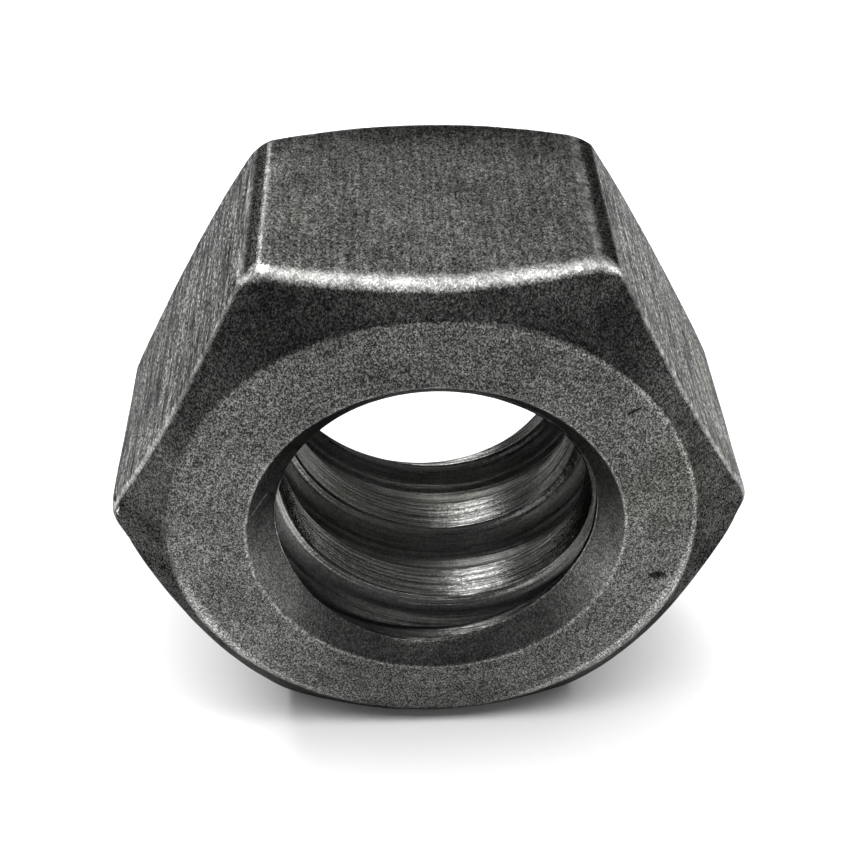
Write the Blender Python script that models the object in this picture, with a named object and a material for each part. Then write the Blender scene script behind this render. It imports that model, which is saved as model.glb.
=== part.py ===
"""Hex nut for coil rod, three-quarter inch with 4.5 turns to the inch.

The nut is one solid piece of steel. It stands on one of its six flats, with its bore along Y,
its front bearing face towards -Y and its origin at the middle of the bore. It is modelled with
its bore along Z and its front face up, and its object is then turned to stand.
"""

import math

import bmesh
import bpy
from mathutils import Matrix

INCH = 0.0254

# Outside of the nut, in metres.
ACROSS_FLATS = 1.125 * INCH
THICKNESS = 0.01686
BAR_CORNER_DIAMETER = 0.03244
FRONT_FACE_DIAMETER = 0.0261
FRONT_CHAMFER_ANGLE = math.radians(38.9)
BACK_FACE_DIAMETER = 0.0254
BACK_CHAMFER_ANGLE = math.radians(35.0)

# Threaded bore. In a nut the crests are the narrowest part and the roots the widest.
THREAD_PITCH = INCH / 4.5
CREST_DIAMETER = 0.0160
ROOT_DIAMETER = 0.0188
CREST_WIDTH = 0.40 * THREAD_PITCH
CREST_DEPTH_BELOW_FRONT = 0.0051
MOUTH_DIAMETER = 0.01888
COUNTERSINK_DEPTH = 0.00165

# Fineness of the round shapes.
BODY_STEPS = 96
THREAD_STEPS = 60
GROOVE_STEPS = 8
OVERRUN = 0.002
MERGE_DISTANCE = 0.000001

BORE_BOTTOM_DIRECTION = math.radians(270)


def clear_scene():
    """Start from an empty scene."""
    for old in list(bpy.data.objects):
        bpy.data.objects.remove(old, do_unlink=True)


def make_object(name, mesh_builder):
    """Wrap the mesh that mesh_builder fills in an object of that name."""
    mesh = bpy.data.meshes.new(name)
    shape = bmesh.new()
    mesh_builder(shape)
    bmesh.ops.recalc_face_normals(shape, faces=shape.faces)
    shape.to_mesh(mesh)
    shape.free()
    made = bpy.data.objects.new(name, mesh)
    bpy.context.scene.collection.objects.link(made)
    return made


def mark_as_cutter(cutter):
    """Keep a tool shape out of the finished part."""
    cutter.hide_render = True
    cutter.display_type = 'WIRE'


def turn_profile(shape, profile):
    """Turn a profile of (radius, height) points about Z; it starts and ends on the axis."""
    corners = [shape.verts.new((radius, 0.0, height)) for radius, height in profile]
    outline = [shape.edges.new(pair) for pair in zip(corners, corners[1:])]
    bmesh.ops.spin(shape, geom=corners + outline, cent=(0.0, 0.0, 0.0), axis=(0.0, 0.0, 1.0),
                   angle=math.tau, steps=BODY_STEPS)
    bmesh.ops.remove_doubles(shape, verts=shape.verts, dist=MERGE_DISTANCE)


def build_hexagonal_bar(shape):
    """Six-sided bar with a flat at the top and a flat at the bottom once the nut stands."""
    corner_radius = ACROSS_FLATS / 2 / math.cos(math.pi / 6)
    bmesh.ops.create_cone(shape, segments=6, cap_ends=True, depth=THICKNESS,
                          radius1=corner_radius, radius2=corner_radius)
    bmesh.ops.rotate(shape, verts=shape.verts, cent=(0.0, 0.0, 0.0),
                     matrix=Matrix.Rotation(math.pi / 6, 3, 'Z'))


def build_turned_blank(shape):
    """Barrel that rounds the bar's corners and chamfers both of its ends."""
    corner = BAR_CORNER_DIAMETER / 2
    front = FRONT_FACE_DIAMETER / 2
    back = BACK_FACE_DIAMETER / 2
    front_depth = (corner - front) * math.tan(FRONT_CHAMFER_ANGLE)
    back_depth = (corner - back) * math.tan(BACK_CHAMFER_ANGLE)
    half = THICKNESS / 2
    # The barrel stands a little proud of the bar's ends, with the chamfers carried on to there.
    proud = OVERRUN / 4
    front_proud = front - proud / math.tan(FRONT_CHAMFER_ANGLE)
    back_proud = back - proud / math.tan(BACK_CHAMFER_ANGLE)
    turn_profile(shape, [
        (0.0, half + proud),
        (front_proud, half + proud),
        (corner, half - front_depth),
        (corner, back_depth - half),
        (back_proud, -half - proud),
        (0.0, -half - proud),
    ])


def build_countersinks(shape):
    """Pilot bore with a conical countersink at each end."""
    mouth = MOUTH_DIAMETER / 2
    crest = CREST_DIAMETER / 2
    half = THICKNESS / 2
    slope = (mouth - crest) / COUNTERSINK_DEPTH
    wide = mouth + slope * OVERRUN
    turn_profile(shape, [
        (0.0, half + OVERRUN),
        (wide, half + OVERRUN),
        (crest, half - COUNTERSINK_DEPTH),
        (crest, COUNTERSINK_DEPTH - half),
        (wide, -half - OVERRUN),
        (0.0, -half - OVERRUN),
    ])


def thread_outline():
    """One pitch of the thread as (radius, height): half a crest, a rounded groove, half a crest."""
    crest = CREST_DIAMETER / 2
    depth = ROOT_DIAMETER / 2 - crest
    groove = THREAD_PITCH - CREST_WIDTH
    outline = [(crest, 0.0)]
    for step in range(GROOVE_STEPS + 1):
        share = step / GROOVE_STEPS
        lift = math.sin(math.pi * share) ** 0.8
        outline.append((crest + depth * lift, CREST_WIDTH / 2 + groove * share))
    outline.append((crest, THREAD_PITCH))
    return outline


def build_tap(shape):
    """Right-hand tap: the outline is wound up a helix, and its two ragged ends are closed."""
    # The crest passes the bottom of the bore at a known height, and the tap starts some whole
    # turns below it, clear of the back face.
    crest_height = THICKNESS / 2 - CREST_DEPTH_BELOW_FRONT
    turns_below = math.ceil((crest_height + THICKNESS / 2 + OVERRUN) / THREAD_PITCH) + 1
    turns = turns_below + 2
    start = crest_height - turns_below * THREAD_PITCH
    corners = [shape.verts.new((radius, 0.0, start + height)) for radius, height in thread_outline()]
    outline = [shape.edges.new(pair) for pair in zip(corners, corners[1:])]
    bmesh.ops.spin(shape, geom=corners + outline, cent=(0.0, 0.0, 0.0), axis=(0.0, 0.0, 1.0),
                   dvec=(0.0, 0.0, THREAD_PITCH / THREAD_STEPS), angle=math.tau * turns,
                   steps=THREAD_STEPS * turns)
    bmesh.ops.remove_doubles(shape, verts=shape.verts, dist=MERGE_DISTANCE)
    bmesh.ops.rotate(shape, verts=shape.verts, cent=(0.0, 0.0, 0.0),
                     matrix=Matrix.Rotation(BORE_BOTTOM_DIRECTION, 3, 'Z'))
    close_ragged_end(shape, upper=False)
    close_ragged_end(shape, upper=True)


def close_ragged_end(shape, upper):
    """Close one end of the tap with a fan to a point on its axis."""
    heights = [corner.co.z for corner in shape.verts]
    middle = (min(heights) + max(heights)) / 2
    rim = [edge for edge in shape.edges
           if edge.is_boundary and (edge.verts[0].co.z > middle) == upper]
    rim_heights = [corner.co.z for edge in rim for corner in edge.verts]
    tip = (min(rim_heights) + max(rim_heights)) / 2
    grown = bmesh.ops.extrude_edge_only(shape, edges=rim)
    points = [item for item in grown['geom'] if isinstance(item, bmesh.types.BMVert)]
    bmesh.ops.pointmerge(shape, verts=points, merge_co=(0.0, 0.0, tip))


def cut(target, tool, operation):
    """Apply one tool shape to the target."""
    modifier = target.modifiers.new(tool.name, 'BOOLEAN')
    modifier.operation = operation
    modifier.solver = 'EXACT'
    modifier.object = tool


def steel():
    """Dark, lightly oiled plain steel."""
    material = bpy.data.materials.new("dark_steel")
    material.use_nodes = True
    shader = material.node_tree.nodes["Principled BSDF"]
    shader.inputs["Base Color"].default_value = (0.115, 0.118, 0.122, 1.0)
    shader.inputs["Roughness"].default_value = 0.42
    shader.inputs["Metallic"].default_value = 1.0
    return material


def make_nut():
    """Cut the nut from hexagonal bar: chamfer it, countersink it and tap it."""
    nut = make_object("hex_nut", build_hexagonal_bar)
    blank = make_object("turned_blank", build_turned_blank)
    countersinks = make_object("countersinks", build_countersinks)
    tap = make_object("tap", build_tap)
    for tool in (blank, countersinks, tap):
        mark_as_cutter(tool)
    cut(nut, blank, 'INTERSECT')
    cut(nut, tap, 'DIFFERENCE')
    cut(nut, countersinks, 'DIFFERENCE')
    nut.data.materials.append(steel())
    nut.data.shade_smooth()
    nut.data.set_sharp_from_angle(angle=math.radians(25))
    for piece in (nut, blank, countersinks, tap):
        piece.rotation_euler = (math.pi / 2, 0.0, 0.0)
    return nut


clear_scene()
make_nut()
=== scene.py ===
import math

import bpy
import numpy as np
from mathutils import Matrix, Vector


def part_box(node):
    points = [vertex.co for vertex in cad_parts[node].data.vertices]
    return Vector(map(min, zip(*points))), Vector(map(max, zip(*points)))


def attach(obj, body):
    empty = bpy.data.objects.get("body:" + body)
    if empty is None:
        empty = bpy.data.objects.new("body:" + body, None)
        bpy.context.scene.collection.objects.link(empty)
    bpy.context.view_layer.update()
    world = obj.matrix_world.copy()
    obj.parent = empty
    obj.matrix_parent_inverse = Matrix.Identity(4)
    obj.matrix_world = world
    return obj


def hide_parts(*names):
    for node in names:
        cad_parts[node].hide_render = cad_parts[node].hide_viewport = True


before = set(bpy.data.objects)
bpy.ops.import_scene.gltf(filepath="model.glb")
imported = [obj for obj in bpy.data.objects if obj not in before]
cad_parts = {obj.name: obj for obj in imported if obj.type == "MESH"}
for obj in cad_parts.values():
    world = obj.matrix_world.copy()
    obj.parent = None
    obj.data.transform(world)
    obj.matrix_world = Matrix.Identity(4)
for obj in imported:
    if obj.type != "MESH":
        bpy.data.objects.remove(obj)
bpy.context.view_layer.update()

# ---------------------------------------------------------------------------------------------
# The steel nut: one closed mesh, worked out column by column around the bore.
# Lengths are in metres. "axial" runs along the bore, towards the front bearing face, and "angle"
# goes round the bore anticlockwise as seen from the front, from +X.
# ---------------------------------------------------------------------------------------------

NODE = "hex_nut"
LOW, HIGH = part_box(NODE)
APOTHEM = HIGH.z
HALF = HIGH.y
BAR_RADIUS = HIGH.x

# Both bearing faces, with their chamfers as the tangent of the angle to the face.
FRONT_FACE_RADIUS = 0.01305
FRONT_CHAMFER = math.tan(math.radians(38.9))
BACK_FACE_RADIUS = 0.0127
BACK_CHAMFER = math.tan(math.radians(35.0))

# Countersinks: their mouths and depth, how softly they meet the thread, and how far inside the
# mouth the section of the outside begins.
MOUTH_RADIUS = 0.00944
BACK_MOUTH_RADIUS = 0.00915
COUNTERSINK_DEPTH = 0.00165
COUNTERSINK_BLEND = 0.00008
MOUTH_LEAD = 0.0004

# The front chamfer reaches further back along the top flat. The angles, in degrees from +X, are
# where the extra depth starts at the flat's right end, where it grows to all of it, and where it
# fades out at the left end.
EXTRA_CHAMFER = 0.00040
EXTRA_STARTS = (57.0, 61.0)
EXTRA_GROWS = (62.0, 82.0)
EXTRA_FADES = (99.0, 119.0)
EXTRA_RIGHT_SHARE = 0.7

# Thread. In a nut the crests are the narrowest part and the roots the widest.
THREAD_PITCH = 0.0254 / 4.5
CREST_RADIUS = 0.0080
ROOT_RADIUS = 0.0094
CREST_SHARE = 0.40
GROOVE_POWER = 0.8
CREST_DEPTH_BELOW_FRONT = 0.0051

# Fine ridges that the tap left beside each crest: place and height, with places and reach in
# shares of the pitch.
TAP_RIDGES = ((0.265, 0.00012), (0.365, 0.00010))
TAP_RIDGE_REACH = 0.014

# The groove starts shallow: down to START_DEPTH below the front face its root is limited to
# START_ROOM over the full depth, less START_RISE all round and START_RIGHT_RISE more towards
# START_ANGLE, at the lower right. The limit is blended in over START_BLEND.
START_ANGLE = math.radians(335)
START_SHARPNESS = 3
START_DEPTH = 0.0035
START_RISE = 0.00105
START_RIGHT_RISE = 0.00060
START_ROOM = 0.0003
START_BLEND = 0.00006

# How far the front of the bore lies off the middle.
BORE_SHIFT_X = 0.00019
BORE_SHIFT_Z = -0.00009

# Directions round the bore.
TOP = math.pi / 2
BORE_BOTTOM = math.radians(270)

# Rounding of the worn edges, as the length cut back along each side.
MOUTH_ROUNDING = 0.00014
FACE_ROUNDING = 0.00018
LOW_FACE_ROUNDING = 0.00055
TOP_CHAMFER_ROUNDING = 0.00066
CHAMFER_ROUNDING = 0.00028
BACK_CHAMFER_ROUNDING = 0.00034
SHARP_BAR_EDGE = 0.00008
WORN_BAR_EDGE = 0.00024
THREAD_EDGE_ROUNDING = 0.00007

# Where wear grows and fades, in radians: along a flat from the worn edge of its corner band, round
# the front rim from its bottom, where it also sets the rim's painted highlight, and round the
# chamfer's edge from the top.
WORN_BAR_FADES = (0.10, 0.20)
LOW_WEAR_AND_HIGHLIGHT_GROWS = (math.radians(8), math.radians(40))
LOW_WEAR_AND_HIGHLIGHT_FADES = (math.radians(62), math.radians(98))
TOP_ROUNDING_FADES = (math.radians(28.5), math.radians(32.5))

# Rows of the mesh along each stretch of a section, and columns round each sixth of the nut.
FLAT_COLUMNS = 44
EDGE_COLUMNS = 7
BAND_COLUMNS = 5
ROUNDING_ROWS = 7
MOUTH_ROWS = 4
FACE_ROWS = 16
CHAMFER_ROWS = 8
WALL_ROWS = 24
BACK_FACE_ROWS = 10
BORE_ROWS = 150

# Samples along the bore and over one pitch, and how strongly the bore's rows crowd into bends.
BORE_SAMPLES = 1500
THREAD_SAMPLES = 2048
BEND_WEIGHT = 0.004
BEND_SPREAD = 41

# Angles of one flat, of half a corner band, and of the crowded columns beside a band's edge.
SIXTH = math.pi / 3
HALF_BAND = math.pi / 6 - math.acos(APOTHEM / BAR_RADIUS)
EDGE_REACH = math.radians(1.3)

# Unevenness of the skin: seed, height and size of each layer, and how far the skin is drawn in.
UNEVENNESS = ((3, 0.000016, 0.0027), (7, 0.000010, 0.0011), (11, 0.000005, 0.00045))
SKIN_INSET = 0.000014

# Knocks on the corners of the front rim: place, reach and depth of each.
DENTS = (
    (-0.01600, -0.00610, 0.00070, 0.00055, 0.00022),
    (-0.01550, -0.00640, -0.00120, 0.00060, 0.00008),
    (-0.00790, -0.00600, 0.01410, 0.00032, 0.00006),
    (-0.00860, -0.00560, 0.01360, 0.00030, 0.00005),
    (0.00690, -0.00616, 0.01420, 0.00030, 0.00008),
    (0.00770, -0.00640, 0.01370, 0.00034, 0.00006),
    (0.01600, -0.00600, -0.00060, 0.00070, 0.00010),
    (0.01560, -0.00560, 0.00140, 0.00040, 0.00006),
)

# Painted highlights along the worn and the keen edge of each corner band, partly wear on the
# worn one: strength, distance beyond the band, and width.
WORN_EDGE_HIGHLIGHT = (1.00, 0.00006, 0.00022)
KEEN_EDGE_HIGHLIGHT = (0.75, 0.00002, 0.00008)

# Where one kind of surface gives way to the next: beside a band's edge, where the countersink
# meets the thread, and up the side of a groove as a share of its depth.
BAND_FADE = (-0.00010, 0.00006)
SINK_FADE = (-0.00003, 0.00005)
GROOVE_LIFTS = (0.10, 0.50)

# Painted highlight on the front rim on the right, as the cosine of the angle where it starts and
# is full, the shine of the mouth's edge, and a painted highlight on the line where the countersink
# meets the thread.
RIGHT_RIM_HIGHLIGHT = (-0.2, 0.6)
RIGHT_RIM_HIGHLIGHT_SHARE = 0.5
MOUTH_SHINE = 0.4
SINK_EDGE_HIGHLIGHT = 0.25
SINK_EDGE_WIDTH = 0.00005
MOUTH_SINK_ROWS = MOUTH_ROWS // 2

# How strongly the drawing marks show on the top flat, against 1 on the other flats.
TOP_DRAWN = 0.35

# Whole numbers that scatter a cell's place and a seed into a value that looks random.
HASH_X = 73856093
HASH_Y = 19349663
HASH_Z = 83492791
HASH_SEED = 2654435761
HASH_SPREAD = 1274126177
HASH_MASK = 0x7FFFFFFF
HASH_LEVELS = 65536


def value_noise(seed, points, size):
    """Smooth noise in -1..1 at each of an array of 3-D points, for features of that size."""
    cell = points / size
    corner = np.floor(cell).astype(np.int64)
    part = cell - corner
    part = part * part * (3.0 - 2.0 * part)
    total = np.zeros(points.shape[0])
    for dx in (0, 1):
        for dy in (0, 1):
            for dz in (0, 1):
                x, y, z = corner[:, 0] + dx, corner[:, 1] + dy, corner[:, 2] + dz
                mixed = (x * HASH_X) ^ (y * HASH_Y) ^ (z * HASH_Z) ^ (seed * HASH_SEED)
                mixed = (mixed ^ (mixed >> 13)) * HASH_SPREAD & HASH_MASK
                value = (mixed ^ (mixed >> 16)) % HASH_LEVELS / ((HASH_LEVELS - 1) / 2) - 1.0
                weight = ((part[:, 0] if dx else 1.0 - part[:, 0])
                          * (part[:, 1] if dy else 1.0 - part[:, 1])
                          * (part[:, 2] if dz else 1.0 - part[:, 2]))
                total += value * weight
    return total


def smooth_step(low, high, value):
    """0 up to low, rising smoothly to 1 at high."""
    share = np.clip((value - low) / (high - low), 0.0, 1.0)
    return share * share * (3.0 - 2.0 * share)


def smooth_fall(low, high, value):
    """1 up to low, falling smoothly to 0 at high."""
    return smooth_step(-high, -low, -value)


def angle_between(angle, direction):
    """How far an angle is from a direction, from 0 to half a turn."""
    return np.abs((angle - direction + math.pi) % math.tau - math.pi)


def soft_min(first, second, width):
    """The smaller of two values, rounded over where they are about as large."""
    return 0.5 * (first + second - np.sqrt((first - second) ** 2 + width ** 2))


def soft_max(first, second, width):
    """The larger of two values, rounded over where they are about as large."""
    return -soft_min(-first, -second, width)


def column_angles():
    """Angles of the mesh's columns, close together at the two long edges of each corner band."""
    angles = []
    for corner in range(6):
        middle = corner * SIXTH
        stops = [
            (-SIXTH / 2, -HALF_BAND - EDGE_REACH, FLAT_COLUMNS // 2),
            (-HALF_BAND - EDGE_REACH, -HALF_BAND + EDGE_REACH, EDGE_COLUMNS),
            (-HALF_BAND + EDGE_REACH, HALF_BAND - EDGE_REACH, BAND_COLUMNS),
            (HALF_BAND - EDGE_REACH, HALF_BAND + EDGE_REACH, EDGE_COLUMNS),
            (HALF_BAND + EDGE_REACH, SIXTH / 2, FLAT_COLUMNS // 2),
        ]
        for start, end, count in stops:
            angles.extend(middle + np.linspace(start, end, count, endpoint=False))
    return np.array(angles)


def wall_radius(angle):
    """Distance from the bore's axis to the hexagonal wall, with its corner band."""
    from_flat = (angle + SIXTH) % SIXTH - SIXTH / 2
    from_corner = (angle + SIXTH / 2) % SIXTH - SIXTH / 2
    fade_start, fade_end = WORN_BAR_FADES
    worn = smooth_step(-HALF_BAND, HALF_BAND, from_corner)
    worn = worn * (1.0 - smooth_step(HALF_BAND + fade_start, HALF_BAND + fade_end, from_corner))
    width = SHARP_BAR_EDGE + (WORN_BAR_EDGE - SHARP_BAR_EDGE) * worn
    return soft_min(APOTHEM / np.cos(from_flat), BAR_RADIUS, width)


def thread_profile_table():
    """Radius of the thread over one pitch from the middle of a crest, with its edges softened."""
    count = THREAD_SAMPLES
    place = np.arange(count) / count
    share = np.abs((place + 0.5) % 1.0 - 0.5) * 2.0
    groove = np.clip((share - CREST_SHARE) / (1.0 - CREST_SHARE), 0.0, 1.0)
    lift = np.sin(groove * math.pi / 2) ** GROOVE_POWER
    radius = CREST_RADIUS + (ROOT_RADIUS - CREST_RADIUS) * lift
    for middle, height in TAP_RIDGES:
        radius -= height * np.exp(-((place - middle) / TAP_RIDGE_REACH) ** 2)
    reach = THREAD_EDGE_ROUNDING / THREAD_PITCH * count
    offsets = np.minimum(np.arange(count), count - np.arange(count))
    kernel = np.exp(-0.5 * (offsets / reach) ** 2)
    kernel /= kernel.sum()
    return np.real(np.fft.ifft(np.fft.fft(radius) * np.fft.fft(kernel)))


THREAD_TABLE = thread_profile_table()


def thread_phase(angle, axial):
    """Place across the thread in pitches: 0 on the middle of a crest, and 0.5 in a groove."""
    crest = HALF - CREST_DEPTH_BELOW_FRONT + THREAD_PITCH * (angle - BORE_BOTTOM) / math.tau
    return ((axial - crest) / THREAD_PITCH) % 1.0


def thread_radius(angle, axial):
    """Radius of the thread alone, which starts shallow at the front, most so at the lower right."""
    count = len(THREAD_TABLE)
    place = thread_phase(angle, axial) * count
    low = np.floor(place).astype(int)
    part = place - low
    full = THREAD_TABLE[low % count] * (1 - part) + THREAD_TABLE[(low + 1) % count] * part
    right = (0.5 + 0.5 * np.cos(angle - START_ANGLE)) ** START_SHARPNESS
    shallow = smooth_step(HALF - START_DEPTH, HALF - START_DEPTH / 2, axial)
    limit = ROOT_RADIUS + START_ROOM - (START_RISE + START_RIGHT_RISE * right) * shallow
    return soft_min(full, limit, START_BLEND)


def cone_radius(axial):
    """Radius of the countersink of the nearer face, carried on into the bore."""
    slope = (MOUTH_RADIUS - CREST_RADIUS) / COUNTERSINK_DEPTH
    return np.where(axial > 0.0, MOUTH_RADIUS, BACK_MOUTH_RADIUS) - (HALF - np.abs(axial)) * slope


def bore_radius(angle, axial):
    """Radius of the bore: the thread, opened by a countersink at each end."""
    return soft_max(thread_radius(angle, axial), cone_radius(axial), COUNTERSINK_BLEND)


def straight(start, end, count):
    """Points from start up to but not including end."""
    share = np.linspace(0.0, 1.0, count, endpoint=False)[:, None]
    return start + (end - start) * share


def rounded(before, corner, after, cut, count):
    """Round one corner: the points from `cut` before it to `cut` after it, end left out."""
    start = corner + (before - corner) / np.linalg.norm(before - corner) * cut
    end = corner + (after - corner) / np.linalg.norm(after - corner) * cut
    share = np.linspace(0.0, 1.0, count, endpoint=False)[:, None]
    curve = start * (1 - share) ** 2 + corner * 2 * share * (1 - share) + end * share ** 2
    return start, curve, end


def low_wear_and_highlight(angle):
    """Wear of the front rim, and the strength of its painted highlight: most at the lower left and right,
    none at the top.
    """
    from_bottom = angle_between(angle, BORE_BOTTOM)
    return (smooth_step(*LOW_WEAR_AND_HIGHLIGHT_GROWS, from_bottom)
            * (1.0 - smooth_step(*LOW_WEAR_AND_HIGHLIGHT_FADES, from_bottom)))


def chamfer_rounding(angle):
    """Rounding of the front chamfer's outer edge: worn round on the top flat, keener on the others."""
    top = float(1.0 - smooth_step(*TOP_ROUNDING_FADES, angle_between(angle, TOP)))
    return CHAMFER_ROUNDING + (TOP_CHAMFER_ROUNDING - CHAMFER_ROUNDING) * top


def extra_chamfer(angle):
    """How much further back the front chamfer reaches along the top flat, most at its middle."""
    turn = math.degrees(angle) % 360.0
    left = float(smooth_fall(*EXTRA_FADES, turn))
    growth = float(smooth_step(*EXTRA_GROWS, turn))
    right = float(smooth_step(*EXTRA_STARTS, turn)) * (
        EXTRA_RIGHT_SHARE + (1.0 - EXTRA_RIGHT_SHARE) * growth)
    return EXTRA_CHAMFER * left * right


# The stretches of one section between its rounded corners, the rows of mesh along each stretch
# and round each corner, and the kind of edge that each corner is.
SECTION_STRETCHES = ("face", "chamfer", "wall", "chamfer", "face")
STRETCH_ROWS = (FACE_ROWS, CHAMFER_ROWS, WALL_ROWS, CHAMFER_ROWS, BACK_FACE_ROWS)
CORNER_ROWS = (MOUTH_ROWS, ROUNDING_ROWS, ROUNDING_ROWS, ROUNDING_ROWS, ROUNDING_ROWS, MOUTH_ROWS)
CORNER_KINDS = ("mouth", "rim", "edge", "edge", "edge", "mouth")
EDGE_KINDS = ("edge", "rim", "mouth")
SIDE_KINDS = ("face", "chamfer", "wall")


def outside_section(angle):
    """(radius, axial) points of one section from the front mouth round to the back mouth."""
    wall = float(wall_radius(angle))
    corners = [np.array(point) for point in (
        (MOUTH_RADIUS - MOUTH_LEAD, HALF - MOUTH_LEAD),
        (MOUTH_RADIUS, HALF),
        (FRONT_FACE_RADIUS, HALF),
        (wall, HALF - (wall - FRONT_FACE_RADIUS) * FRONT_CHAMFER - extra_chamfer(angle)),
        (wall, (wall - BACK_FACE_RADIUS) * BACK_CHAMFER - HALF),
        (BACK_FACE_RADIUS, -HALF),
        (BACK_MOUTH_RADIUS, -HALF),
        (BACK_MOUTH_RADIUS - MOUTH_LEAD, MOUTH_LEAD - HALF),
    )]
    worn = float(low_wear_and_highlight(angle))
    cuts = (MOUTH_ROUNDING, FACE_ROUNDING + (LOW_FACE_ROUNDING - FACE_ROUNDING) * worn,
            chamfer_rounding(angle), BACK_CHAMFER_ROUNDING, BACK_CHAMFER_ROUNDING, MOUTH_ROUNDING)
    points = []
    previous_end = None
    for index, cut in enumerate(cuts):
        start, curve, end = rounded(corners[index], corners[index + 1], corners[index + 2], cut,
                                    CORNER_ROWS[index])
        if previous_end is not None:
            points.append(straight(previous_end, start, STRETCH_ROWS[index - 1]))
        points.append(curve)
        previous_end = end
    points.append(previous_end[None, :])
    return np.concatenate(points)


def outside_masks():
    """How much each row of the outside is each kind of edge and of side, from 0 to 1."""
    masks = {kind: [] for kind in EDGE_KINDS + SIDE_KINDS}
    sides = ("sink",) + SECTION_STRETCHES + ("sink",)
    for index, count in enumerate(CORNER_ROWS):
        for step in range(count):
            share = step / count
            for kind in EDGE_KINDS:
                masks[kind].append(math.sin(math.pi * share) * (CORNER_KINDS[index] == kind))
            for kind in SIDE_KINDS:
                masks[kind].append((1 - share) * (sides[index] == kind) + share * (sides[index + 1] == kind))
        if index < len(STRETCH_ROWS):
            for step in range(STRETCH_ROWS[index]):
                for kind in EDGE_KINDS:
                    masks[kind].append(0.0)
                for kind in SIDE_KINDS:
                    masks[kind].append(float(sides[index + 1] == kind))
    for kind in masks:
        masks[kind].append(0.0)
    return {kind: np.array(values) for kind, values in masks.items()}


def bore_section(angle, back_end, front_end):
    """(radius, axial) points of the bore from its back mouth to its front mouth, both left out."""
    axial = np.linspace(back_end, front_end, BORE_SAMPLES)
    radius = bore_radius(angle, axial)
    run = np.hypot(np.diff(axial), np.diff(radius))
    bend = np.abs(np.diff(np.arctan2(np.diff(radius), np.diff(axial))))
    bend = np.concatenate([bend, bend[-1:]])
    bend = np.convolve(bend, np.ones(BEND_SPREAD) / BEND_SPREAD, mode="same")
    along = np.concatenate([[0.0], np.cumsum(run + BEND_WEIGHT * bend)])
    stops = np.linspace(0.0, along[-1], BORE_ROWS + 2)[1:-1]
    place = np.interp(stops, along, axial)
    return np.stack([bore_radius(angle, place), place], axis=1)


def edge_highlight(distance, line):
    """Strength of the painted highlight along a corner band's edge, at a distance from the band."""
    strength, middle, width = line
    return strength * np.exp(-((distance - middle) / width) ** 2)


def mark_outside(masks, angles):
    """Fill in the masks over the rows outside the bore."""
    outside = outside_masks()
    rows = len(outside["edge"])
    for kind in ("face", "chamfer"):
        masks[kind][:, :rows] = outside[kind]
    # The rim mask paints a highlight on the front rim, at the lower left and right and on the right.
    right_side = smooth_step(*RIGHT_RIM_HIGHLIGHT, np.cos(angles))
    rim_highlight = RIGHT_RIM_HIGHLIGHT_SHARE * right_side + low_wear_and_highlight(angles)
    masks["rim"][:, :rows] = outside["rim"] * rim_highlight[:, None]
    wall = outside["wall"][None, :]
    from_corner = ((angles + SIXTH / 2) % SIXTH - SIXTH / 2)[:, None]
    edge_distance = (np.abs(from_corner) - HALF_BAND) * BAR_RADIUS
    in_band = 1.0 - smooth_step(*BAND_FADE, edge_distance)
    # Painted highlights along the band's two edges, partly wear on the worn edge.
    edge_highlights = np.where(from_corner > 0.0, edge_highlight(edge_distance, WORN_EDGE_HIGHLIGHT),
                         edge_highlight(edge_distance, KEEN_EDGE_HIGHLIGHT))
    masks["band"][:, :rows] = in_band * wall
    # Worn edges, the mouth's shine, and the painted highlights along the band edges, all made bright later.
    masks["edge"][:, :rows] = np.maximum(outside["edge"] + MOUTH_SHINE * outside["mouth"],
                                         edge_highlights * wall)
    on_top = angle_between(angles, TOP) < SIXTH / 2
    masks["drawn"][:, :rows] = np.where(on_top, TOP_DRAWN, 1.0)[:, None] * (1 - in_band) * wall
    # The first rows of the mouth's rounding still belong to the countersink.
    masks["sink"][:, :MOUTH_SINK_ROWS] = 1.0 - masks["face"][:, :MOUTH_SINK_ROWS]
    return rows


def mark_bore(masks, angles, axial, first_row):
    """Fill in the masks over the rows in the bore, which start at first_row."""
    inner_axial = axial[:, first_row:]
    cone = cone_radius(inner_axial)
    thread = thread_radius(angles[:, None], inner_axial)
    lift = (thread - CREST_RADIUS) / (ROOT_RADIUS - CREST_RADIUS)
    in_sink = smooth_step(*SINK_FADE, cone - thread)
    in_groove = smooth_step(*GROOVE_LIFTS, lift)
    masks["sink"][:, first_row:] = in_sink
    masks["crest"][:, first_row:] = (1 - in_sink) * (1 - in_groove)
    masks["groove"][:, first_row:] = (1 - in_sink) * in_groove
    # A painted highlight along the line where the countersink meets the thread.
    masks["edge"][:, first_row:] = SINK_EDGE_HIGHLIGHT * np.exp(-((cone - thread) / SINK_EDGE_WIDTH) ** 2)


def surface_masks(angles, radius, axial):
    """Every mask over the whole grid of columns and rows."""
    masks = {kind: np.zeros(radius.shape) for kind in
             ("edge", "rim", "face", "chamfer", "band", "drawn", "sink", "crest", "groove")}
    outside_rows = mark_outside(masks, angles)
    mark_bore(masks, angles, axial, outside_rows)
    return masks


def nut_points(angles, radius, axial):
    """Places of the grid's points in the frame, with the bore a touch off the middle."""
    turn = angles[:, None]
    share = np.clip((BACK_FACE_RADIUS - radius) / (BACK_FACE_RADIUS - MOUTH_RADIUS), 0.0, 1.0)
    sideways = BORE_SHIFT_X * (0.5 + 0.5 * axial / HALF)
    points = np.stack([radius * np.cos(turn) + sideways * share, -axial,
                       radius * np.sin(turn) + BORE_SHIFT_Z * share], axis=-1)
    return points.reshape(-1, 3)


def add_attribute(mesh, name, values):
    """Give each vertex a value that the steel can read by name."""
    made = mesh.attributes.new(name, "FLOAT", "POINT")
    made.data.foreach_set("value", np.ascontiguousarray(values, dtype=np.float32).ravel())


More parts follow.
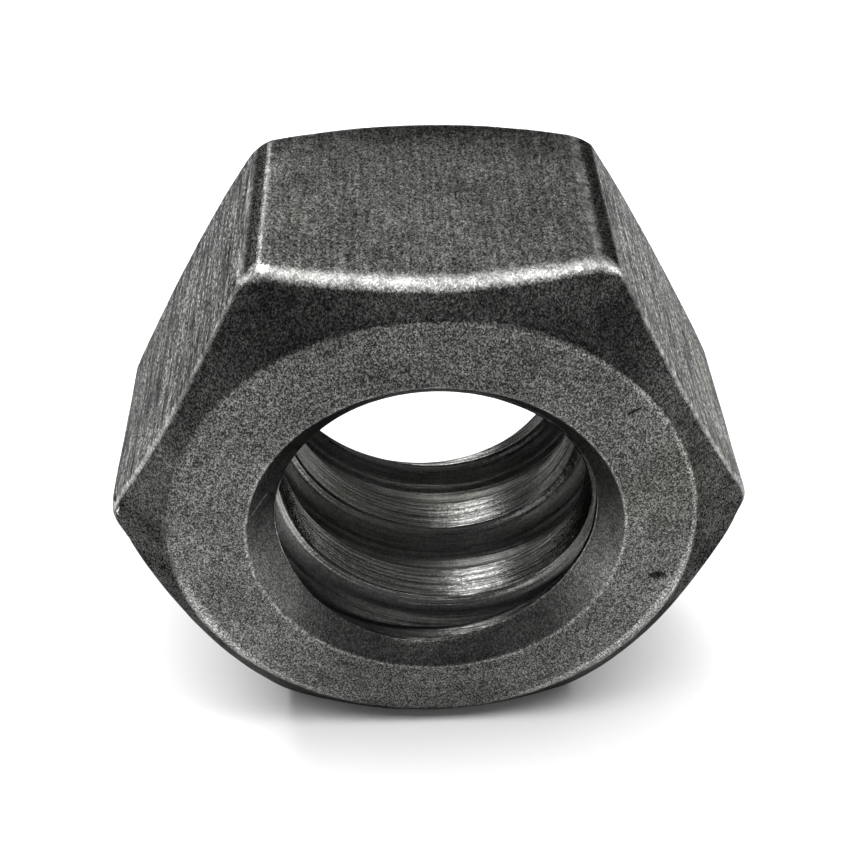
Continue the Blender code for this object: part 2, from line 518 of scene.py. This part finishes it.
def nut_mesh():
    """Build the whole skin of the nut as a closed grid of columns and rows."""
    angles = column_angles()
    columns = []
    for angle in angles:
        outside = outside_section(angle)
        inside = bore_section(angle, outside[-1, 1], outside[0, 1])
        columns.append(np.concatenate([outside, inside]))
    section = np.array(columns)
    column_count, row_count = section.shape[:2]
    radius, axial = section[..., 0], section[..., 1]
    points = nut_points(angles, radius, axial)
    column = np.arange(column_count)[:, None]
    row = np.arange(row_count)[None, :]
    next_column = (column + 1) % column_count
    next_row = (row + 1) % row_count
    quads = np.stack([
        column * row_count + row,
        column * row_count + next_row,
        next_column * row_count + next_row,
        next_column * row_count + row,
    ], axis=-1).reshape(-1, 4)
    mesh = bpy.data.meshes.new("nut_skin")
    mesh.from_pydata(points.tolist(), [], quads.tolist())
    mesh.update()
    roughen(mesh)
    mesh.shade_smooth()
    for kind, values in surface_masks(angles, radius, axial).items():
        add_attribute(mesh, kind, values)
    phase = thread_phase(angles[:, None], axial) * math.tau
    add_attribute(mesh, "wind_cos", np.cos(phase))
    add_attribute(mesh, "wind_sin", np.sin(phase))
    return mesh


def roughen(mesh):
    """Push the skin in and out a few hundredths of a millimetre, as handled steel is uneven."""
    count = len(mesh.vertices)
    places = np.zeros(count * 3)
    normals = np.zeros(count * 3)
    mesh.vertices.foreach_get("co", places)
    mesh.vertices.foreach_get("normal", normals)
    places = places.reshape(-1, 3)
    normals = normals.reshape(-1, 3)
    push = sum(height * value_noise(seed, places, size) for seed, height, size in UNEVENNESS)
    for x, y, z, reach, depth in DENTS:
        gap = np.linalg.norm(places - np.array((x, y, z)), axis=1)
        push -= depth * np.exp(-(gap / reach) ** 2)
    places += normals * (push - SKIN_INSET)[:, None]
    mesh.vertices.foreach_set("co", places.ravel())
    mesh.update()


def make_nut():
    """The nut as one object in the scene."""
    nut = bpy.data.objects.new("nut", nut_mesh())
    bpy.context.scene.collection.objects.link(nut)
    return nut


# ---------------------------------------------------------------------------------------------
# Steel
# ---------------------------------------------------------------------------------------------

# Reflectance of the steel where it is bare, machined, or worn bright, on each part of the nut.
# Some of the difference between parts is painted light and shade: the side flats are lighter than
# the top flat, and the chamfer and the thread's grooves darker. The worn tone also serves painted
# highlights along edges, the rim tone is a painted highlight, and the knock tone paints glints.
FLAT_TONE = 0.124
SIDE_TONE = 0.178
FACE_TONE = 0.083
CHAMFER_TONE = 0.042
BAND_TONE = 0.052
SINK_TONE = 0.094
CREST_TONE = 0.18
GROOVE_TONE = 0.120
WEAR_AND_HIGHLIGHT_TONE = 0.25
RIM_HIGHLIGHT_TONE = 0.30
KNOCK_GLINT_TONE = 0.85

# How the tones change over the nut: between two places, and by which shares of the tone there.
# The places are across (to the right), along (to the back), up, or sideways (to either side).
# These changes are painted light and shade: the top flat darker at its left and its back edge,
# the side flats lighter to the right, the faces lighter lower down and to the sides, the chamfer
# and the countersinks lighter to the sides, the countersinks darker above, the grooves darker to
# the front, back and right, the crests darker to the back and right, a painted shadow over the
# front right of the bore, and worn edges painted brighter towards the sides as highlights.
TOP_SHADE = (-0.006, 0.004, 0.84, 1.0)
TOP_BACK_EDGE = (0.0030, 0.0066)
TOP_BACK_SHARE = 0.35
SIDE_SHADE = (-0.012, 0.012, 0.95, 1.20)
FACE_SHADE = (0.003, 0.011, 0.90, 1.12)
FACE_SHADE_UP = (-0.012, 0.012, 1.22, 0.88)
CHAMFER_SHADE = (0.002, 0.009, 0.48, 1.35)
SINK_SHADE = (0.003, 0.009, 0.48, 1.45)
SINK_SHADE_UP = (-0.003, 0.003, 1.0, 0.45)
GROOVE_SHADE = (0.0025, 0.0065, 1.0, 0.90)
GROOVE_SHADE_FRONT = (-0.0060, -0.0010, 0.34, 1.08)
GROOVE_SHADE_BACK = (0.0005, 0.0050, 1.0, 0.62)
CREST_SHADE = (0.0035, 0.0070, 1.0, 0.75)
CREST_SHADE_ALONG = (-0.003, 0.0025, 1.0, 0.66)
FRONT_RIGHT_ACROSS = (0.0040, 0.0075, 0.0, 1.0)
FRONT_RIGHT_ALONG = (-0.0055, -0.0035, 0.40, 0.0)
SIDE_EDGE_HIGHLIGHT = (0.0071, 0.0078, 1.0, 1.7)

# Patterns: how many features there are in a metre, the same each way or across, along and up.
GRAIN_CELLS = (18500.0, 12700.0, 13400.0)
SIDE_GRAIN_CELLS = (13500.0, 6400.0, 13500.0)
STREAK_CELLS = (4200.0, 240.0, 4200.0)
FINE_SCALE = 6000.0
RAGGED_SCALE = 5200.0
COARSE_SCALE = 2300.0
MOTTLE_SCALE = 480.0
CLOUD_SCALE = 330.0
PATCH_SCALE = 120.0

# Lines: how fine they are across their run, and how quickly they change along it. Lines round
# the bore change more slowly upwards than across, and they are weaker in the groove.
TURNED_LINES = (5200.0, 130.0)
WOUND_LINES = (12.0, 190.0)
RIDGE_LINES = (4.5, 110.0)
WOUND_UP_SHARE = 0.7
GROOVE_LINES = 0.45

# What each pattern does: two of its values, and the gain or share that each one gives.
GRAIN_GAIN = (0.0, 1.0, 0.20, 2.60)
SIDE_GRAIN_GAIN = (0.0, 1.0, 0.10, 2.80)
CALM_GRAIN_GAIN = (0.0, 1.0, 0.7, 1.3)
CLOUD_GAIN = (0.3, 0.7, 0.80, 1.20)
MOTTLE_GAIN = (0.35, 0.65, 0.75, 1.25)
STREAK_GAIN = (0.38, 0.62, 0.25, 1.75)
TURNED_GAIN = (0.3, 0.7, 0.82, 1.18)
WOUND_GAIN = (0.3, 0.7, 0.5, 1.5)
RIDGE_GAIN = (0.35, 0.65, 0.45, 1.55)
RAGGED_GAIN = (0.3, 0.7, 0.6, 1.4)
WEAR_SHARE = (0.32, 0.60, 0.35, 1.0)
WARM_SHARE = (0.54, 0.70, 0.0, 0.6)
ROUGHNESS_CHANGE = (0.3, 0.7, -0.06, 0.06)

# How calm the grain is on worn edges, on the chamfer and in the countersink.
CALM_ON_EDGE = 0.8
CALM_ON_CHAMFER = 0.1
CALM_IN_SINK = 0.5

# Green and blue of the cool and the warm steel, against red.
COOL_TINT = (1.008, 0.975)
WARM_TINT = (0.985, 0.86)

# Roughness of the steel, of the thread's crests and of worn edges, and its dull edge reflection.
ROUGHNESS = 0.42
CREST_ROUGHNESS = 0.18
WORN_ROUGHNESS = 0.39
EDGE_TINT = (0.35, 0.35, 0.35, 1.0)

# Relief of the fine lines, the tapped ridges and the two sizes of unevenness, in metres.
LINE_RELIEF = 0.000014
RIDGE_RELIEF = 0.000090
COARSE_RELIEF = 0.000022
FINE_RELIEF = 0.000012

# How dark a pit is, and the share of a mark's reach where it is at full strength.
PIT_DARKNESS = 0.85
SOLID_SHARE = 0.55

# Dark pits and bright scratches: both ends and the reach of each.
PITS = (
    ((0.01144, -0.00843, -0.00288), (0.01160, -0.00843, -0.00284), 0.00038),
    ((0.00905, -0.00843, 0.00768), (0.00950, -0.00843, 0.00795), 0.00010),
)
SCRATCHES = (
    ((-0.00878, -0.00809, 0.00168), (-0.00807, -0.00749, 0.00238), 0.00009),
    ((0.00690, -0.00040, 0.01429), (0.00722, 0.00060, 0.01429), 0.00007),
    ((0.00560, 0.00300, 0.01429), (0.00575, 0.00420, 0.01429), 0.00006),
)

# Knocks at the two top corners and the left corner of the front, painted bright as glints: both
# ends and reach.
KNOCK_GLINTS = (
    ((-0.00764, -0.00574, 0.01418), (-0.00750, -0.00580, 0.01420), 0.00026),
    ((-0.00862, -0.00590, 0.01372), (-0.00828, -0.00600, 0.01390), 0.00026),
    ((0.00655, -0.00620, 0.01420), (0.00680, -0.00610, 0.01422), 0.00022),
    ((0.00700, -0.00640, 0.01415), (0.00742, -0.00655, 0.01398), 0.00024),
    ((-0.01580, -0.00600, 0.00130), (-0.01600, -0.00615, 0.00010), 0.00017),
)


class Weave:
    """Adds shader nodes to one material and joins them up."""

    def __init__(self, material):
        self.nodes = material.node_tree.nodes
        self.links = material.node_tree.links
        self.place = self.nodes.new("ShaderNodeTexCoord").outputs["Object"]
        parts = self.nodes.new("ShaderNodeSeparateXYZ")
        self.links.new(self.place, parts.inputs[0])
        self.across, self.along, self.up = parts.outputs
        self.sideways = self.maths("ABSOLUTE", self.across)

    def feed(self, socket, value):
        """Join a socket to another node's output, or set it to a constant."""
        if isinstance(value, bpy.types.NodeSocket):
            self.links.new(value, socket)
        else:
            socket.default_value = value

    def mask(self, name):
        """One of the masks that the nut's mesh carries."""
        node = self.nodes.new("ShaderNodeAttribute")
        node.attribute_name = name
        return node.outputs["Fac"]

    def maths(self, operation, first, second=0.0, clamp=False):
        node = self.nodes.new("ShaderNodeMath")
        node.operation = operation
        node.use_clamp = clamp
        self.feed(node.inputs[0], first)
        self.feed(node.inputs[1], second)
        return node.outputs[0]

    def times(self, first, second):
        return self.maths("MULTIPLY", first, second)

    def plus(self, first, second):
        return self.maths("ADD", first, second)

    def larger(self, first, second):
        return self.maths("MAXIMUM", first, second)

    def remap(self, value, low, high, to_low, to_high):
        """Change evenly from to_low, where the value is low, to to_high, where it is high."""
        node = self.nodes.new("ShaderNodeMapRange")
        self.feed(node.inputs["Value"], value)
        self.feed(node.inputs["From Min"], low)
        self.feed(node.inputs["From Max"], high)
        self.feed(node.inputs["To Min"], to_low)
        self.feed(node.inputs["To Max"], to_high)
        return node.outputs[0]

    def shade(self, value, ramp, tone):
        """A tone that changes along a ramp of two values and the shares of the tone at them."""
        low, high, first_share, last_share = ramp
        return self.remap(value, low, high, tone * first_share, tone * last_share)

    def stretched(self, scale):
        """The place on the nut, counted in cells of a different size each way."""
        return self.vectors("MULTIPLY", self.place, scale)

    def combine(self, x, y, z):
        node = self.nodes.new("ShaderNodeCombineXYZ")
        for socket, value in zip(node.inputs, (x, y, z)):
            self.feed(socket, value)
        return node.outputs[0]

    def noise(self, scale, vector=None, detail=2.0, rough=0.5):
        node = self.nodes.new("ShaderNodeTexNoise")
        self.feed(node.inputs["Vector"], vector or self.place)
        node.inputs["Scale"].default_value = scale
        node.inputs["Detail"].default_value = detail
        node.inputs["Roughness"].default_value = rough
        return node.outputs["Fac"]

    def cells(self, vector):
        """A random value from 0 to 1 in each small cell of the steel."""
        node = self.nodes.new("ShaderNodeTexVoronoi")
        self.feed(node.inputs["Vector"], vector)
        node.inputs["Scale"].default_value = 1.0
        parts = self.nodes.new("ShaderNodeSeparateColor")
        self.feed(parts.inputs[0], node.outputs["Color"])
        return parts.outputs[0]

    def vectors(self, operation, first, second, output=0):
        node = self.nodes.new("ShaderNodeVectorMath")
        node.operation = operation
        self.feed(node.inputs[0], first)
        self.feed(node.inputs[1], second)
        return node.outputs[output]

    def near_line(self, start, end, reach):
        """1 on the line from start to end, fading to 0 at `reach` from it, with a ragged outline."""
        way = Vector(end) - Vector(start)
        from_start = self.vectors("SUBTRACT", self.place, start)
        along = self.vectors("DOT_PRODUCT", from_start, tuple(way), output=1)
        share = self.maths("DIVIDE", along, way.length_squared, clamp=True)
        nearest = self.vectors("MULTIPLY", self.combine(share, share, share), tuple(way))
        gap = self.vectors("LENGTH", self.vectors("SUBTRACT", from_start, nearest), (0, 0, 0), output=1)
        ragged = self.times(gap, self.remap(self.noise(RAGGED_SCALE), *RAGGED_GAIN))
        return self.remap(ragged, reach * SOLID_SHARE, reach, 1.0, 0.0)

    def turned(self, fineness, change):
        """Noise in rings round the bore's axis, changing slowly along each ring."""
        out = self.maths("SQRT", self.plus(self.maths("POWER", self.across, 2.0),
                                           self.maths("POWER", self.up, 2.0)))
        return self.noise(1.0, self.combine(self.times(out, fineness), self.times(self.across, change),
                                            self.times(self.up, change)))

    def wound(self, fineness, change):
        """Noise in lines that follow the thread, changing slowly round the bore."""
        round_the_bore = self.plus(self.times(self.across, change),
                                   self.times(self.up, change * WOUND_UP_SHARE))
        vector = self.combine(self.times(self.mask("wind_cos"), fineness),
                              self.times(self.mask("wind_sin"), fineness), round_the_bore)
        return self.noise(1.0, vector, detail=3.0, rough=0.6)

    def mix(self, share, first, second):
        """The first value where the share is 0, and the second where it is 1."""
        node = self.nodes.new("ShaderNodeMix")
        node.data_type = "FLOAT"
        self.feed(node.inputs[0], share)
        self.feed(node.inputs[2], first)
        self.feed(node.inputs[3], second)
        return node.outputs[0]

    def tint(self, share, first, second):
        """The first colour where the share is 0, and the second where it is 1."""
        node = self.nodes.new("ShaderNodeMix")
        node.data_type = "RGBA"
        self.feed(node.inputs[0], share)
        self.feed(node.inputs[6], first)
        self.feed(node.inputs[7], second)
        return node.outputs[2]

    def bump(self, height, distance, normal=None):
        """Raise the surface by a height of 1 to the distance, on top of another bump."""
        node = self.nodes.new("ShaderNodeBump")
        node.inputs["Strength"].default_value = 1.0
        node.inputs["Distance"].default_value = distance
        self.feed(node.inputs["Height"], height)
        if normal is not None:
            self.links.new(normal, node.inputs["Normal"])
        return node.outputs["Normal"]


class Marks:
    """The masks of the nut's surface, and the patterns that its finish is made of."""

    def __init__(self, weave):
        self.edge = weave.mask("edge")
        self.rim = weave.mask("rim")
        self.face = weave.mask("face")
        self.chamfer = weave.mask("chamfer")
        self.band = weave.mask("band")
        self.drawn = weave.mask("drawn")
        self.sink = weave.mask("sink")
        self.crest = weave.mask("crest")
        self.groove = weave.mask("groove")
        self.bore = weave.plus(self.crest, self.groove)
        self.lined = weave.plus(self.crest, weave.times(GROOVE_LINES, self.groove))
        self.grain = weave.cells(weave.stretched(GRAIN_CELLS))
        self.side_grain = weave.cells(weave.stretched(SIDE_GRAIN_CELLS))
        self.coarse = weave.noise(COARSE_SCALE)
        self.fine = weave.noise(FINE_SCALE)
        self.cloud = weave.noise(CLOUD_SCALE, detail=3.0)
        self.patches = weave.noise(PATCH_SCALE)
        self.mottle = weave.noise(MOTTLE_SCALE)
        self.streaks = weave.noise(1.0, weave.stretched(STREAK_CELLS), detail=3.0, rough=0.65)
        self.turned = weave.turned(*TURNED_LINES)
        self.wound = weave.wound(*WOUND_LINES)
        self.ridges = weave.wound(*RIDGE_LINES)
        # Wear and painted highlights of the edges, broken up by the coarse pattern.
        wear_and_highlight = weave.remap(self.coarse, *WEAR_SHARE)
        self.wear_and_highlight = weave.maths("MULTIPLY", self.edge, wear_and_highlight, clamp=True)


def bare_tone(weave, marks):
    """Tone of each part of the nut before wear and grain, with painted light and shade over the parts."""
    # Painted shade: the top flat darker to the left and far darker at its back edge.
    top = weave.remap(weave.along, *TOP_BACK_EDGE, weave.shade(weave.across, TOP_SHADE, FLAT_TONE),
                      FLAT_TONE * TOP_BACK_SHARE)
    # Painted light: the side flats lighter than the top flat, and lighter to the right.
    side = weave.shade(weave.across, SIDE_SHADE, SIDE_TONE)
    tone = weave.mix(weave.remap(marks.drawn, TOP_DRAWN, 1.0, 0.0, 1.0), top, side)
    # Painted light and shade: the faces lighter lower down and to the sides.
    face = weave.times(weave.remap(weave.sideways, *FACE_SHADE),
                       weave.shade(weave.up, FACE_SHADE_UP, FACE_TONE))
    tone = weave.mix(marks.face, tone, face)
    # Painted shade: the chamfer darker in the middle than to the sides.
    tone = weave.mix(marks.chamfer, tone, weave.shade(weave.sideways, CHAMFER_SHADE, CHAMFER_TONE))
    tone = weave.mix(marks.band, tone, BAND_TONE)
    # Painted shade: the countersinks darker above and in the middle than to the sides.
    sink = weave.times(weave.remap(weave.up, *SINK_SHADE_UP),
                       weave.shade(weave.sideways, SINK_SHADE, SINK_TONE))
    tone = weave.mix(marks.sink, tone, sink)
    # Painted shade: the grooves darker to the front, the back and the right.
    groove = weave.times(weave.shade(weave.along, GROOVE_SHADE_FRONT, GROOVE_TONE),
                         weave.remap(weave.along, *GROOVE_SHADE_BACK))
    tone = weave.mix(marks.groove, tone, weave.times(groove, weave.remap(weave.across, *GROOVE_SHADE)))
    # Painted shade: the crests darker to the back and the right.
    crest = weave.times(weave.shade(weave.along, CREST_SHADE_ALONG, CREST_TONE),
                        weave.remap(weave.across, *CREST_SHADE))
    tone = weave.mix(marks.crest, tone, crest)
    # Painted shadow over the front right of the bore.
    front_right_shadow = weave.times(weave.remap(weave.across, *FRONT_RIGHT_ACROSS),
                              weave.remap(weave.along, *FRONT_RIGHT_ALONG))
    return weave.times(tone, weave.maths("SUBTRACT", 1.0, weave.times(marks.bore, front_right_shadow)))


def worn_and_highlighted_tone(weave, marks, tone):
    """The tone with its worn edges bright, partly as painted highlights, and the front rim's painted
    highlight.
    """
    tone = weave.mix(marks.wear_and_highlight, tone, weave.shade(weave.sideways, SIDE_EDGE_HIGHLIGHT, WEAR_AND_HIGHLIGHT_TONE))
    # The front rim's tone is a painted highlight.
    return weave.mix(marks.rim, tone, RIM_HIGHLIGHT_TONE)


def patterned_tone(weave, marks, tone):
    """The tone with its clouds, its grain, and the lines of drawing, turning and tapping."""
    tone = weave.times(tone, weave.remap(marks.cloud, *CLOUD_GAIN))
    tone = weave.times(tone, weave.mix(marks.chamfer, 1.0, weave.remap(marks.mottle, *MOTTLE_GAIN)))
    top_grain = weave.remap(weave.maths("POWER", marks.grain, 2.0), *GRAIN_GAIN)
    side_grain = weave.remap(weave.maths("POWER", marks.side_grain, 2.0), *SIDE_GRAIN_GAIN)
    calm = weave.larger(weave.larger(marks.bore, weave.times(CALM_ON_EDGE, marks.edge)),
                        weave.larger(weave.times(CALM_ON_CHAMFER, marks.chamfer),
                                     weave.times(CALM_IN_SINK, marks.sink)))
    tone = weave.times(tone, weave.mix(calm, weave.mix(marks.drawn, top_grain, side_grain),
                                       weave.remap(marks.grain, *CALM_GRAIN_GAIN)))
    tone = weave.times(tone, weave.mix(marks.drawn, 1.0, weave.remap(marks.streaks, *STREAK_GAIN)))
    tone = weave.times(tone, weave.mix(marks.face, 1.0, weave.remap(marks.turned, *TURNED_GAIN)))
    lines = weave.times(weave.remap(marks.wound, *WOUND_GAIN), weave.remap(marks.ridges, *RIDGE_GAIN))
    return weave.times(tone, weave.mix(marks.lined, 1.0, lines))


def blemished_tone(weave, tone):
    """The tone with its pits, scratches, and knocks painted bright as glints."""
    for start, end, reach in PITS:
        darkness = weave.times(PIT_DARKNESS, weave.near_line(start, end, reach))
        tone = weave.times(tone, weave.maths("SUBTRACT", 1.0, darkness))
    for start, end, reach in SCRATCHES:
        tone = weave.mix(weave.near_line(start, end, reach), tone, WEAR_AND_HIGHLIGHT_TONE)
    # Knocks painted bright as glints.
    for start, end, reach in KNOCK_GLINTS:
        tone = weave.mix(weave.near_line(start, end, reach), tone, KNOCK_GLINT_TONE)
    return tone


def tinted(weave, tone, tint):
    """A colour of that tone, with the shares of green and blue that the tint gives."""
    green, blue = tint
    return weave.combine(tone, weave.times(tone, green), weave.times(tone, blue))


def steel_normal(weave, marks):
    """Fine relief: drawing, turning and tapping lines, and two sizes of unevenness."""
    lines = weave.times(marks.drawn, marks.streaks)
    lines = weave.plus(lines, weave.times(marks.face, marks.turned))
    lines = weave.plus(lines, weave.times(marks.bore, marks.wound))
    normal = weave.bump(lines, LINE_RELIEF)
    normal = weave.bump(weave.times(marks.lined, marks.ridges), RIDGE_RELIEF, normal)
    normal = weave.bump(marks.coarse, COARSE_RELIEF, normal)
    return weave.bump(marks.fine, FINE_RELIEF, normal)


def steel():
    """Dark plain steel: grainy, drawn along its flats, turned on its faces, worn at its edges, with painted
    light and shade.
    """
    material = bpy.data.materials.new("dark_steel")
    material.use_nodes = True
    shader = material.node_tree.nodes["Principled BSDF"]
    weave = Weave(material)
    marks = Marks(weave)
    tone = bare_tone(weave, marks)
    tone = worn_and_highlighted_tone(weave, marks, tone)
    tone = patterned_tone(weave, marks, tone)
    tone = blemished_tone(weave, tone)
    colour = weave.tint(weave.remap(marks.patches, *WARM_SHARE), tinted(weave, tone, COOL_TINT),
                        tinted(weave, tone, WARM_TINT))
    rough = weave.mix(marks.crest, ROUGHNESS, CREST_ROUGHNESS)
    rough = weave.mix(marks.wear_and_highlight, rough, WORN_ROUGHNESS)
    rough = weave.plus(rough, weave.remap(marks.coarse, *ROUGHNESS_CHANGE))
    weave.links.new(colour, shader.inputs["Base Color"])
    weave.links.new(rough, shader.inputs["Roughness"])
    weave.links.new(steel_normal(weave, marks), shader.inputs["Normal"])
    shader.inputs["Metallic"].default_value = 1.0
    shader.inputs["Specular Tint"].default_value = EDGE_TINT
    return material


# ---------------------------------------------------------------------------------------------
# Floor, lights and camera
# ---------------------------------------------------------------------------------------------

# Floor: half its width, how white and how rough it is.
FLOOR_REACH = 3.0
FLOOR_WHITE = 0.9
FLOOR_ROUGHNESS = 0.8

# Softboxes that face the nut: name, place, width, depth and radiance.
NUT_MIDDLE = Vector((0.0, 0.0, 0.0))
SOFTBOXES = (
    ("overhead_softbox", (0.04, 0.10, 0.85), 1.2, 0.42, 6.2),
    ("rear_softbox", (-0.42, 0.75, 0.66), 0.46, 0.46, 8.0),
    ("front_softbox", (0.0, -0.27, 0.95), 1.8, 0.30, 3.3),
)

# Strength of the studio's even light in front of the nut and behind it, and the slope from front
# to back, as a direction's part along +Y, over which it changes.
FRONT_LIGHT = 0.25
BACK_LIGHT = 0.42
LIGHT_CHANGES = (-0.6, 0.5)

# Camera: its place, the directions of its picture, its lens and sensor in millimetres, how far
# its picture is shifted up, and the nearest and farthest things that it sees.
CAMERA_PLACE = Vector((-0.001980, -0.060307, 0.048877))
CAMERA_RIGHT = Vector((0.999472, -0.032469, -0.001525))
CAMERA_DOWN = Vector((-0.023452, -0.687828, -0.725495))
CAMERA_AHEAD = Vector((0.022508, 0.725147, -0.688226))
LENS = 60.71
SENSOR_WIDTH = 36.0
CAMERA_SHIFT_UP = 0.1412
NEAREST_SEEN = 0.005
FARTHEST_SEEN = 50.0


def make_floor():
    """Pale matt floor under the nut."""
    mesh = bpy.data.meshes.new("studio_floor")
    reach = FLOOR_REACH
    level = LOW.z
    mesh.from_pydata([(-reach, -reach, level), (reach, -reach, level), (reach, reach, level),
                      (-reach, reach, level)], [], [(0, 1, 2, 3)])
    floor = bpy.data.objects.new("studio_floor", mesh)
    material = bpy.data.materials.new("pale_floor")
    material.use_nodes = True
    shader = material.node_tree.nodes["Principled BSDF"]
    shader.inputs["Base Color"].default_value = (FLOOR_WHITE, FLOOR_WHITE, FLOOR_WHITE, 1.0)
    shader.inputs["Roughness"].default_value = FLOOR_ROUGHNESS
    shader.inputs["Specular IOR Level"].default_value = 0.0
    mesh.materials.append(material)
    bpy.context.scene.collection.objects.link(floor)


def make_softbox(name, place, width, depth, radiance):
    """Rectangular softbox that faces the nut."""
    light = bpy.data.lights.new(name, "AREA")
    light.shape = "RECTANGLE"
    light.size = width
    light.size_y = depth
    light.energy = radiance * math.pi * width * depth
    lamp = bpy.data.objects.new(name, light)
    lamp.location = place
    lamp.rotation_euler = (NUT_MIDDLE - Vector(place)).to_track_quat("-Z", "Y").to_euler()
    bpy.context.scene.collection.objects.link(lamp)


def make_world():
    """Even white light from all round, stronger from behind the nut."""
    world = bpy.data.worlds.new("studio")
    bpy.context.scene.world = world
    world.use_nodes = True
    nodes, links = world.node_tree.nodes, world.node_tree.links
    nodes.clear()
    output = nodes.new("ShaderNodeOutputWorld")
    background = nodes.new("ShaderNodeBackground")
    coordinates = nodes.new("ShaderNodeTexCoord")
    split = nodes.new("ShaderNodeSeparateXYZ")
    ramp = nodes.new("ShaderNodeMapRange")
    links.new(coordinates.outputs["Generated"], split.inputs[0])
    links.new(split.outputs["Y"], ramp.inputs["Value"])
    ramp.inputs["From Min"].default_value = LIGHT_CHANGES[0]
    ramp.inputs["From Max"].default_value = LIGHT_CHANGES[1]
    ramp.inputs["To Min"].default_value = FRONT_LIGHT
    ramp.inputs["To Max"].default_value = BACK_LIGHT
    links.new(ramp.outputs[0], background.inputs["Strength"])
    links.new(background.outputs[0], output.inputs["Surface"])
    background.inputs["Color"].default_value = (1.0, 1.0, 1.0, 1.0)


def make_camera():
    """Camera close above the front of the nut."""
    camera_data = bpy.data.cameras.new("camera")
    camera = bpy.data.objects.new("camera", camera_data)
    camera_data.lens = LENS
    camera_data.sensor_width = SENSOR_WIDTH
    camera_data.shift_y = CAMERA_SHIFT_UP
    camera_data.clip_start = NEAREST_SEEN
    camera_data.clip_end = FARTHEST_SEEN
    turn = Matrix((CAMERA_RIGHT, -CAMERA_DOWN, -CAMERA_AHEAD)).transposed()
    camera.matrix_world = Matrix.Translation(CAMERA_PLACE) @ turn.to_4x4()
    bpy.context.scene.collection.objects.link(camera)
    bpy.context.scene.camera = camera


make_camera()
nut = make_nut()
nut.data.materials.append(steel())
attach(nut, "root")
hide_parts(NODE)
make_floor()
make_world()
for softbox in SOFTBOXES:
    make_softbox(*softbox)
bpy.context.scene.view_settings.view_transform = "Standard"
